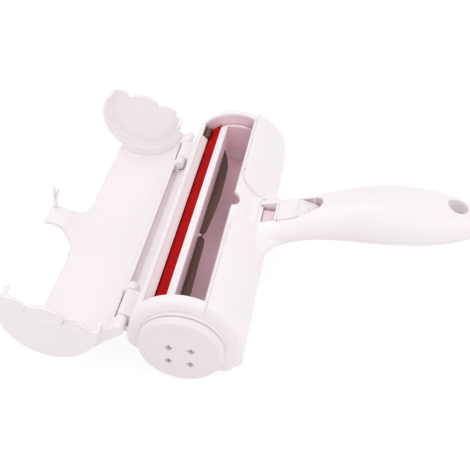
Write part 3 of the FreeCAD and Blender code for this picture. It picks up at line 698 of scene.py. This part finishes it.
def rear_panel_height(button, x):
    """Height in millimetres of the button's top, over the drum's axis, at a place on its rear panel."""
    rear = [corner.co for corner in button.data.vertices if corner.co.x > at(PANEL_SPLIT + 0.4, 0, 0).x]
    front = min(place.x for place in rear)
    back = max(place.x for place in rear)
    tops = [max(place.z for place in rear if abs(place.x - end) < 0.0015) for end in (front, back)]
    share = (at(x, 0, 0).x - front) / (back - front)
    return (tops[0] + (tops[1] - tops[0]) * share) / MM - AXIS_HEIGHT


def release_button():
    """The rocker with softened edges, its tongue trimmed, a rib between its panels and a dimple in the rear
    one."""
    take(nodes["release_button"])
    bpy.ops.object.duplicate()
    button = bpy.context.object
    outwards(button)
    button.parent = None
    pick(button, "faces", lambda face: True)
    bpy.ops.mesh.bisect(plane_co=at(TONGUE_TRIM, 0, 0), plane_no=(1, 0, 0), use_fill=True, clear_inner=True)
    bpy.ops.object.mode_set(mode="OBJECT")
    split = at(PANEL_SPLIT, 0, 0).x
    for corner in button.data.vertices:
        if corner.co.x > split:
            corner.co.z -= (corner.co.x - split) * REAR_DROP
        corner.co.y += (corner.co.y - HEAD_MIDDLE * MM) * BUTTON_WIDEN
    rib = block(RIB_MIDDLE, RIB_SIZE)
    rest_all()
    over_panel = rear_panel_height(button, DIMPLE[0]) + DIMPLE_LIFT
    bpy.ops.mesh.primitive_uv_sphere_add(
        segments=48, ring_count=24, radius=DIMPLE_R * MM, location=at(*DIMPLE, over_panel),
    )
    dimple = bpy.context.object
    settle(dimple)
    for operation, tool in (("UNION", rib), ("DIFFERENCE", dimple)):
        modify(button, "BOOLEAN", operation=operation, solver="EXACT", object=tool)
        bpy.data.objects.remove(tool)
    round_edges(button, 0.2, 2, 50)
    fit(button, "button_cap", "button", lid_white)
    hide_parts("release_button")


release_button()


# Sill behind the latch window, and its floor and far wall, coloured as painted shade

def bar(name, low, high, material, soft=0.3):
    """A small block on the body with rounded edges, between two corners."""
    piece = block([(a + b) / 2 for a, b in zip(low, high)], [b - a for a, b in zip(low, high)])
    modify(piece, "BEVEL", width=soft * MM, segments=3, limit_method="NONE")
    fit(piece, name, "body", material)


bar("button_sill", (33.3, -7.3, 18.6), (34.75, 7.3, 21.2), lid_white)
bar("latch_floor", (26.22, -7.18, 13.6), (33.15, 4.9, 16.1), latch_shade)
bar("latch_liner", (26.22, 6.95, 9.0), (33.15, 7.19, 16.9), latch_shade, 0.05)


# Finishes of the CAD nodes

for name, material in FINISH.items():
    slots = nodes[name].data.materials
    for slot in range(len(slots)):
        slots[slot] = material
    if not slots:
        slots.append(material)


# Camera, floor and light

rest_all()
bpy.ops.object.camera_add(location=(0.06014, -0.23174, 0.31515),
                          rotation=(math.radians(46.89), math.radians(-1.19), math.radians(10.01)))
camera = bpy.context.object
camera.name = "photo_camera"
camera.data.lens = 58.62
camera.data.sensor_width = 36.0
camera.data.clip_start = 0.02
bpy.context.scene.camera = camera

rest_all()
bpy.ops.mesh.primitive_plane_add(size=6.0, location=(0, 0, 0))
floor = bpy.context.object
floor.name = "floor"
paper = Finish("floor_paper", ink(246, 244, 245), 0.9)
rays = [paper.add("ShaderNodeLightPath", output=name)
        for name in ("Is Camera Ray", "Is Glossy Ray", "Is Transmission Ray")]
seen = (rays[0] + rays[1] + rays[2]) * 0.85
glow = paper.add("ShaderNodeEmission", Color=(1, 1, 1, 1), Strength=1.06)
mixed = paper.add("ShaderNodeMixShader", _0=seen, _1=Value(paper.tree, paper.shader.outputs[0]), _2=glow)
paper.tree.links.new(paper.tree.nodes["Material Output"].inputs[0], mixed.socket)
dress(floor, paper.material)


def soft_lamp(name, place, target, size, power):
    bpy.ops.object.light_add(type="AREA", location=place)
    lamp = bpy.context.object
    lamp.name = name
    lamp.data.shape = "DISK"
    lamp.data.size = size
    lamp.data.energy = power
    lamp.rotation_euler = (Vector(target) - Vector(place)).to_track_quat("-Z", "Y").to_euler()


soft_lamp("soft_left", (-0.5, 0.25, 0.95), (0, 0.08, 0.02), 0.9, 2.0)
soft_lamp("soft_right", (0.7, -0.35, 0.7), (0.03, 0.08, 0.02), 0.8, 1.4)

world = bpy.data.worlds.new("studio")
bpy.context.scene.world = world
world.use_nodes = True
world.node_tree.nodes["Background"].inputs[0].default_value = (1.0, 1.0, 1.0, 1.0)
world.node_tree.nodes["Background"].inputs[1].default_value = 0.81
bpy.context.scene.view_settings.view_transform = "Standard"

rest_all()
